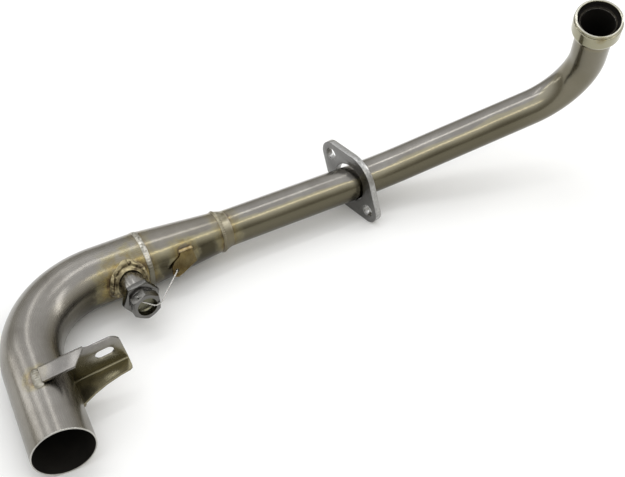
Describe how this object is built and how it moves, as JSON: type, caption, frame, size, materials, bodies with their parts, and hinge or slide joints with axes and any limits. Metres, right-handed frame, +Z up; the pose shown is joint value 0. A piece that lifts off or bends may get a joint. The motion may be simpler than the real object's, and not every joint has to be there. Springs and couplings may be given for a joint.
{
  "type": "motorcycle exhaust header",
  "caption": "Stainless exhaust header: a bent front pipe with a loose port flange, a reducer cone, and a wider elbow with a plugged sensor boss and a hanger bracket.",
  "frame": {"origin": "centre of the outlet's end face", "axes": "+Z up from the surface that the header lies on, +X along the straight run of the front pipe towards the port, +Y from the outlet towards the elbow"},
  "size_m": [0.5092, 0.1698, 0.1629],
  "materials": {
    "pipe_steel": "blasted and lightly brushed, straw tint by the welds",
    "bare_steel": "turned, satin",
    "flange_steel": "cut plate, satin faces",
    "sheet_steel": "folded sheet, satin",
    "washer_steel": "dull",
    "wire_steel": "bright drawn wire",
    "weld_steel": "rippled bead with straw to brown tint"
  },
  "bodies": {
    "header": {"port_collar": "bare_steel", "front_pipe": "pipe_steel", "reducer_cone": "pipe_steel", "rear_pipe": "pipe_steel", "hanger_bracket": "sheet_steel", "sensor_boss": "bare_steel", "sensor_adapter": "bare_steel", "plug_washer": "washer_steel", "boss_plug": "bare_steel", "lockwire": "wire_steel", "lockwire_tab": "sheet_steel", "weld_collar": "weld_steel", "weld_front_seam": "weld_steel", "weld_rear_seam": "weld_steel", "weld_boss": "weld_steel", "weld_tab": "weld_steel", "weld_bracket_upper": "weld_steel", "weld_bracket_lower": "weld_steel"},
    "flange": {"loose_flange": "flange_steel"}
  },
  "joints": [
    {"name": "flange_slide", "type": "slide", "parent": "header", "child": "flange", "axis": [1, 0, 0.0099], "range_m": [-0.1, 0]}
  ]
}
